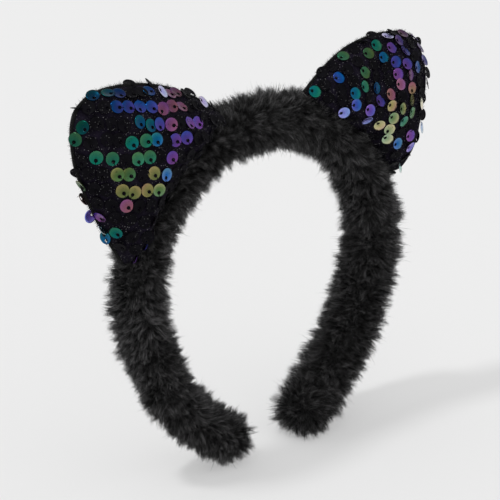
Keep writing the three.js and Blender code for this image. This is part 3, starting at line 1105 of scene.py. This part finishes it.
def hang_over_edge(sewn, word, side, face):
    """Moves the first few sequins out over the sewn edge."""
    for index, (share, bright_out) in enumerate(HANGING[word]):
        edge = face.rim[int(share * EDGE_POINTS)]
        out = unit((edge - face.centre) * [1, 0, 1])
        sewn.centre[index] = (edge + out * HANGING_OUT) * [side, 1, 1]
        sewn.normal[index] = (0, -1, 0)
        sewn.up[index] = -out * [side, 1, 1]
        sewn.across[index] = np.cross(sewn.up[index], sewn.normal[index])
        sewn.phase[index] = HANGING_PHASE
        sewn.value[index] = HANGING_REFLECTION
        sewn.bright[index] = bright_out


def sequin_piece(name, sewn, chosen, face_films, painted_shade, materials):
    """Chosen sequins as one piece. face_films says which of front, edge and back has which material.
    painted_shade darkens their film as painted shade.
    """
    shape, front, back, edges = sequin_shape()
    count = chosen.sum()
    points = (
        sewn.centre[chosen][:, None]
        + shape[None, :, :1] * sewn.across[chosen][:, None]
        + shape[None, :, 1:2] * sewn.up[chosen][:, None]
        + shape[None, :, 2:] * sewn.normal[chosen][:, None]
    )
    offset = (np.arange(count) * len(shape))[:, None, None]
    faces = [(part[None] + offset).reshape(-1, 4) for part in (front, edges, back)]
    looks = [materials["film"], materials["black"]]
    piece = add_mesh(name, points.reshape(-1, 3), [np.concatenate(faces)], looks)
    films = np.concatenate([np.full(len(part), film) for part, film in zip(faces, face_films)])
    piece.data.polygons.foreach_set("material_index", films)
    flat = shape[:, :2] / SEQUIN_RADIUS
    radial = np.linalg.norm(shape[:, :2], axis=1) / SEQUIN_RADIUS
    shading = FILM_PHASE_UP * shape[:, 1] / SEQUIN_RADIUS + FILM_PHASE_OUT * radial
    phase = sewn.phase[chosen][:, None] + shading
    value = sewn.value[chosen] * painted_shade
    # The film is painted brighter toward each sequin's rim, as the reflection in its cup.
    colour = iridescent(phase, value[:, None] * (FILM_REFLECTION_MIDDLE + FILM_REFLECTION_RIM * radial))
    colour = np.concatenate([colour, np.ones((*colour.shape[:2], 1))], -1)
    tint = piece.data.color_attributes.new("tint", "FLOAT_COLOR", "POINT")
    tint.data.foreach_set("color", colour.ravel())
    set_uv(piece, cell_uv(count, flat, np.arange(len(shape)) >= len(shape) // 2))
    return piece


def make_sequins(word, side, face, materials):
    """The bright-side-out sequins of one ear, the black-side-out ones, and their threads."""
    sewn = sew_sequins(word, side, face)
    name = f"{word}_ear_sequins"
    bright = sequin_piece(f"{name}_bright", sewn, sewn.bright, (0, 0, 1), 1, materials)
    # Black-side-out sequins get their film darkened as painted shade where it faces the cloth.
    black = sequin_piece(f"{name}_black", sewn, ~sewn.bright, (1, 1, 0), BLACK_OUT_SHADE, materials)
    points, groups = sewing_threads(sewn)
    threads = add_mesh(f"{word}_ear_sequin_threads", points, groups, [materials["thread"]])
    return bright, black, threads


def cell_uv(count, flat, second):
    """A cell of the bake picture for each side of each of count equal discs, almost filled by it."""
    columns = math.ceil(math.sqrt(2 * count))
    cell = 2 * np.arange(count)[:, None] + second[None]
    corner = np.stack([cell % columns, cell // columns], -1)
    return ((corner + 0.5 + CELL_SHARE * flat[None]) / columns).reshape(-1, 2)


def film_phase(word, line, place):
    """How far round the film's colours each sequin is, mostly that of the nearest areas."""
    areas = np.array(FILM_AREAS[word])
    gap = (line[:, None] - areas[:, 0]) ** 2 + (place[:, None] - areas[:, 1]) ** 2
    weight = 1 / (gap + AREA_SOFTNESS) ** 2
    return (weight * areas[:, 2]).sum(1) / weight.sum(1)


def painted_film_reflection(side, normal):
    """Painted reflection: the film's brightness by the way a sequin faces, paler where an ear turns down
    toward the band and dimmer where it turns up.
    """
    downward = -0.6 * side * normal[:, 0] - 0.8 * normal[:, 2]
    return np.clip(FILM_REFLECTION_LEVEL + FILM_REFLECTION_SLOPE * downward, *FILM_REFLECTION_LIMITS)


# --- Ear materials ---


def glitter(s, place, scale, share, patchiness, tone):
    """Specks: the middles of a few cells, thicker in some patches than in others."""
    cells = s.node("ShaderNodeTexVoronoi", {"Vector": place, "Scale": scale})
    pick = s.node("ShaderNodeSeparateColor", {"Color": cells.outputs["Color"]}).outputs["Red"]
    patches = s.spread(s.noise(70.0, 2.0, place), share - patchiness, share + patchiness)
    chosen = s.node("ShaderNodeMath", {0: pick, 1: patches}, operation="LESS_THAN").outputs[0]
    speck = s.ramp(cells.outputs["Distance"], (0.0, grey(1.0)), (0.16, grey(0.7)), (0.26, grey(0.0)))
    return s.mix(1.0, s.mix(1.0, speck, chosen, "MULTIPLY"), (*grey(tone), 1), "MULTIPLY")


def net_material():
    """Dark knit with a purple cast and fine glitter specks."""
    s = Shader("sequin_net", Roughness=0.8, Specular_IOR_Level=0.06)
    place = s.object_place()
    weave = s.node("ShaderNodeTexVoronoi", {"Vector": place, "Scale": 1400.0})
    base = s.mottle(place, 220.0, 3.0, (0.0018, 0.0013, 0.003), (0.010, 0.0075, 0.016))
    s.set("Base Color", s.mix(1.0, base, glitter(s, place, 1300.0, 0.42, 0.42, 0.22), "ADD"))
    s.bump(weave.outputs["Distance"], 0.6, 0.0003)
    return s.material


def back_material():
    """Brushed black cloth with a soft sheen."""
    s = Shader(
        "ear_back_cloth", Roughness=0.85, Specular_IOR_Level=0.1, Sheen_Weight=0.05, Sheen_Roughness=0.45,
    )
    place = s.object_place()
    s.set("Base Color", s.mottle(place, 90.0, 2.0, grey(0.003), grey(0.007)))
    s.bump(s.noise(900.0, 4.0, place), 0.5, 0.0004)
    return s.material


def film_material():
    """The bright side of a sequin: a coloured mirror-like film with fine scratches."""
    s = Shader("sequin_film", Metallic=1.0, Coat_Weight=0.06, Coat_Roughness=0.12)
    tint = s.node("ShaderNodeAttribute", attribute_name="tint").outputs["Color"]
    scuffs = s.noise(1500.0, 3.0, s.object_place())
    scuffed = s.mix(1.0, tint, (*grey(0.45), 1), "MULTIPLY")
    s.set("Base Color", s.mix(s.spread(scuffs, 0.0, 0.6), tint, scuffed))
    s.set("Roughness", s.spread(scuffs, 0.16, 0.36))
    return s.material


def black_material():
    """The black side of a sequin: dark lacquer with embedded glitter."""
    s = Shader("sequin_black", Specular_IOR_Level=0.05)
    place = s.object_place()
    base = s.mottle(place, 300.0, 2.0, (0.0012, 0.001, 0.002), (0.0035, 0.003, 0.005))
    s.set("Base Color", s.mix(1.0, base, glitter(s, place, 1500.0, 0.2, 0.3, 0.16), "ADD"))
    s.set("Roughness", s.spread(s.noise(700.0, 2.0, place), 0.45, 0.7))
    return s.material


def thread_material():
    """Black sewing thread with its ply."""
    settings = {"Roughness": 0.8, "Specular_IOR_Level": 0.15}
    return ribbed_material("thread", 1200.0, 1.5, (0.002, 0.008), 0.0001, **settings)


def wadding_material():
    """White polyester fibre in soft tufts."""
    s = Shader("wadding", Roughness=0.95, Subsurface_Weight=0.1)
    tufts = s.noise(260.0, 5.0, s.object_place())
    s.set("Base Color", s.ramp(tufts, (0.3, (0.62, 0.61, 0.58)), (0.7, (0.82, 0.81, 0.78))))
    s.bump(tufts, 0.6, 0.0008)
    return s.material


def strip_material():
    """Black moulded plastic with a slightly uneven gloss."""
    s = Shader("springy_strip")
    place = s.object_place()
    s.set("Base Color", s.mottle(place, 60.0, 2.0, grey(0.008), grey(0.014)))
    s.set("Roughness", s.spread(s.noise(500.0, 4.0, place), 0.3, 0.5))
    return s.material


def make_ear(word, side, materials):
    """All pieces of one ear. What comes back is its whole outside."""
    shape = EAR_SHAPES[word]
    body = f"{word}_ear"
    faces = [EarFace(side, shape, -1), EarFace(side, shape, 1)]

    def keep(name, mesh, material, slot, *stands_for):
        piece = add_mesh(f"{body}_{name}", *mesh, [materials[material]])
        ride(piece, slot, *stands_for)
        return piece

    def ride(piece, slot, *stands_for):
        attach(piece, body)
        if stands_for:
            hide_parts(*(f"{body}_{node}" for node in stands_for))

    for face, side_name, material, slot in (
        (faces[0], "front", "net", "net_cloth"), (faces[1], "back", "back", "back_cloth"),
    ):
        cloth = thicken(*face.mesh(), face.rim_index(), CLOTH_THICKNESS)
        piece = keep(f"{side_name}_cloth", cloth, material, slot, f"{side_name}_panel")
    stuffing = keep("filling", filling(faces), "wadding", "wadding", "stuffing")
    shrink(stuffing, FILLING_GAP)
    keep("gusset", gusset(shape, side), "back", "back_cloth", "base_gusset", "base_stitches")
    seam = tube(faces[0].grid[-1, :EDGE_POINTS], SEAM_RADIUS)
    keep("seam_cord", seam, "thread", "thread", "edge_seam")

    bright, black, threads = make_sequins(word, side, faces[0], materials)
    ride(bright, "sequins", "sequins")
    ride(black, "sequins")
    ride(threads, "thread")
    *fuzz, uv = ear_fuzz(word, side, faces[0])
    set_uv(keep("fuzz", fuzz, "fuzz", "net_cloth"), uv)
    return ear_surface(faces, shape, side)


def sewing_threads(sewn):
    """A stitch from each sequin's hole over its near edge into the cloth."""
    hole = sewn.centre + sewn.up * SEQUIN_HOLE_OUT + sewn.normal * STITCH_START
    far = sewn.centre + sewn.up * (SEQUIN_RADIUS + STITCH_PAST_EDGE)
    spots = (hole, hole, (hole + far) / 2, far, far)
    paths = np.stack([spot + sewn.normal * height for spot, height in zip(spots, STITCH_HEIGHTS)], 1)
    return join([tube(path, THREAD_RADIUS, sides=5) for path in paths])


def ear_fuzz(word, side, face):
    """Short loose fibres: over the sewn edge, and between the sequins on the knit."""
    draws = rng(f"fuzz {word}")
    verts, quads, tris = face.mesh()
    triangles = np.concatenate([split_quads(quads), tris])
    normals = vertex_normals(verts, triangles)
    roots, chosen, weights = scatter(draws, verts, triangles, FUZZ_ON_FACE)
    ways = (normals[triangles[chosen]] * weights[..., None]).sum(1)
    ways = ways + FUZZ_SPREAD_ON_FACE * draws.normal(size=roots.shape)
    lengths = draws.uniform(*FUZZ_LENGTHS_ON_FACE, len(roots))

    edge = face.grid[-1, :EDGE_POINTS]
    at = draws.uniform(0, EDGE_POINTS - 1.001, FUZZ_ON_EDGE)
    low = at.astype(int)
    share = (at - low)[:, None]
    edge_roots = edge[low] * (1 - share) + edge[low + 1] * share
    along = unit(edge[low + 1] - edge[low])
    outward = unit(np.cross(along, [0, side, 0]))
    edge_ways = outward + FUZZ_SPREAD_ON_EDGE * draws.normal(size=edge_roots.shape)
    edge_lengths = draws.uniform(*FUZZ_LENGTHS_ON_EDGE, FUZZ_ON_EDGE)

    roots = np.concatenate([roots, edge_roots])
    ways = unit(np.concatenate([ways, edge_ways]))
    lengths = np.concatenate([lengths, edge_lengths])
    bow = FUZZ_BOW * draws.normal(size=roots.shape)
    steps = np.array([0, 0.5, 1.0])
    line = roots[:, None] + ways[:, None] * (lengths[:, None] * steps)[..., None]
    line = line + bow[:, None] * np.sin(np.pi * steps)[None, :, None]
    radii = FUZZ_RADIUS * draws.uniform(0.7, 1.3, (len(roots), 1)) * np.array([1.0, 0.7])
    tones = np.clip(draws.normal(*FUZZ_TONE, len(roots)), *TONE_LIMITS)
    return strand_meshes(line, radii, tones, draws)


def ear_surface(faces, shape, side):
    """The whole outside of an ear, for keeping the pile out of it."""
    verts, polygons, offset = [], [], 0
    for points, *groups in (faces[0].mesh(), faces[1].mesh(), base_sheet(shape, side)):
        verts.append(points)
        for group in groups:
            polygons += (group + offset).tolist()
        offset += len(points)
    return BVHTree.FromPolygons(np.concatenate(verts).tolist(), polygons)


def shrink(piece, distance):
    """Makes a closed body from a shell, and moves every face inward."""
    bpy.context.view_layer.objects.active = piece
    piece.select_set(True)
    piece.data.remesh_voxel_size = FILLING_VOXEL * MM
    piece.data.remesh_voxel_adaptivity = 0
    bpy.ops.object.voxel_remesh()
    piece.select_set(False)
    places, normals = (np.zeros(len(piece.data.vertices) * 3, np.float32) for _ in range(2))
    piece.data.vertices.foreach_get("co", places)
    piece.data.vertices.foreach_get("normal", normals)
    piece.data.vertices.foreach_set("co", places - normals * distance * MM)
    piece.data.update()


def finish_hidden_nodes(materials):
    """The CAD nodes that stay, inside the sleeves, get real finishes."""
    finishes = {"wadding": "wadding", "strip": "strip", "sleeve_tie": "thread"}
    for name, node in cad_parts.items():
        for start, finish in finishes.items():
            if name.startswith(start):
                for slot in node.material_slots:
                    slot.material = materials[finish]


# --- Stage ---


def direction(azimuth, elevation):
    """A unit vector toward a place round the object. Azimuth 0 is in front of it."""
    azimuth, elevation = math.radians(azimuth), math.radians(elevation)
    return Vector((
        math.sin(azimuth) * math.cos(elevation),
        -math.cos(azimuth) * math.cos(elevation),
        math.sin(elevation),
    ))


def make_camera():
    """A long lens on the band's middle, rolled a little, that looks past it by the framing offsets."""
    azimuth = math.radians(CAMERA_AZIMUTH)
    roll = math.radians(CAMERA_ROLL)
    back = direction(CAMERA_AZIMUTH, CAMERA_ELEVATION)
    level_right = Vector((math.cos(azimuth), math.sin(azimuth), 0))
    level_up = back.cross(level_right)
    right = level_right * math.cos(roll) + level_up * math.sin(roll)
    up = level_up * math.cos(roll) - level_right * math.sin(roll)
    centre = Vector((0, ARCH_SET_BACK, ARCH_CENTRE_HEIGHT))
    eye = centre + back * CAMERA_DISTANCE
    aim = centre + right * FRAMING_RIGHT + up * FRAMING_UP
    look = (eye - aim).normalized()
    side = up.cross(look).normalized()
    camera = bpy.data.objects.new("camera", bpy.data.cameras.new("camera"))
    camera.data.lens = CAMERA_LENS
    camera.data.clip_end = CAMERA_FARTHEST
    for column, axis in enumerate((side, look.cross(side), look)):
        for row in range(3):
            camera.matrix_world[row][column] = axis[row]
    camera.matrix_world.translation = eye * MM
    bpy.context.scene.collection.objects.link(camera)
    bpy.context.scene.camera = camera


def make_stage():
    """A pale floor, an even room, and two suns: a soft key and a wide fill."""
    bpy.context.scene.view_settings.view_transform = "Standard"
    half = FLOOR_SIZE / 2 / MM
    corners = np.array([(-half, -half, 0), (half, -half, 0), (half, half, 0), (-half, half, 0)])
    s = Shader(
        "floor", Roughness=0.9, Specular_IOR_Level=0.0, Base_Color=(*grey(FLOOR_TONE), 1),
        Emission_Color=(1, 1, 1, 1), Emission_Strength=FLOOR_GLOW,
    )
    add_mesh("floor", corners, [np.array([[0, 1, 2, 3]])], [s.material])
    make_world()
    for name, settings in SUNS.items():
        sun_light(name, *settings)


def make_world():
    """An even white room, seen a little brighter than it lights so that it meets the floor unseen."""
    world = bpy.data.worlds.new("studio")
    world.use_nodes = True
    nodes, links = world.node_tree.nodes, world.node_tree.links
    background = nodes["Background"]
    background.inputs["Color"].default_value = (1, 1, 1, 1)
    strength = nodes.new("ShaderNodeMapRange")
    strength.inputs["To Min"].default_value = WORLD_STRENGTH
    strength.inputs["To Max"].default_value = WORLD_SEEN
    links.new(nodes.new("ShaderNodeLightPath").outputs["Is Camera Ray"], strength.inputs["Value"])
    links.new(strength.outputs["Result"], background.inputs["Strength"])
    bpy.context.scene.world = world


def sun_light(name, energy, azimuth, elevation, spread):
    """A sun that shines from a direction. The spread in degrees softens its shadows."""
    sun = bpy.data.objects.new(name, bpy.data.lights.new(name, "SUN"))
    sun.data.energy = energy
    sun.data.angle = math.radians(spread)
    sun.rotation_euler = direction(azimuth, elevation).to_track_quat("Z", "Y").to_euler()
    bpy.context.scene.collection.objects.link(sun)


make_camera()
make_stage()
materials = {
    "net": net_material(),
    "back": back_material(),
    "film": film_material(),
    "fuzz": fur_material("ear_fuzz"),
    "black": black_material(),
    "thread": thread_material(),
    "wadding": wadding_material(),
    "strip": strip_material(),
}
ears = {word: make_ear(word, side, materials) for word, side in SIDES.items()}
finish_hidden_nodes(materials)
make_fur(ears)
